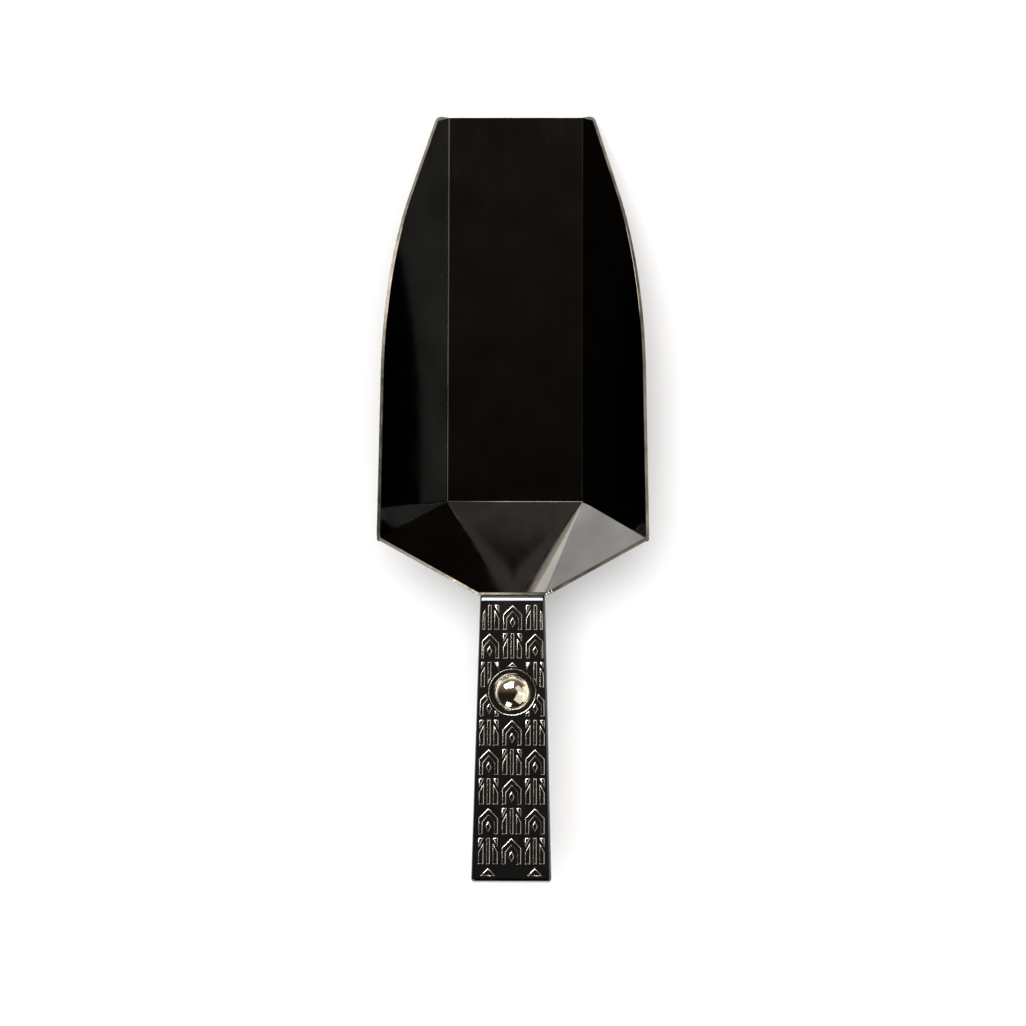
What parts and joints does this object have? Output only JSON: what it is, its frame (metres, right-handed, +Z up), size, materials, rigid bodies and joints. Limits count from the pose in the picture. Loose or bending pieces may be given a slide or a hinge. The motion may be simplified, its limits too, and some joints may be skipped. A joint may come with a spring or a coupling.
{
  "type": "hand scoop",
  "caption": "Folded sheet-metal hand scoop with an open front, faceted back and a riveted flared strap handle.",
  "frame": {"origin": "centre of the bounding box's bottom, on the surface that the floor of the scoop stands on", "axes": "+Z up, +Y from the handle towards the front edge, X across the scoop"},
  "size_m": [0.0818, 0.241, 0.0592],
  "materials": {
    "black_coat": "glossy black coat over sheet steel",
    "bare_steel": "plain steel",
    "rivet_metal": "polished pale brass",
    "weld_metal": "coated weld bead",
    "tack_metal": "bare weld metal"
  },
  "bodies": {
    "root": {"scoop_bowl": "black_coat", "handle_plate": "black_coat", "handle_liner": "black_coat", "rivet_spacer": "bare_steel", "rivet_washer": "bare_steel", "rivet": "rivet_metal", "corner_weld_right": "weld_metal", "corner_weld_left": "weld_metal", "handle_root_weld": "weld_metal", "root_tack_welds": "tack_metal"}
  },
  "joints": []
}
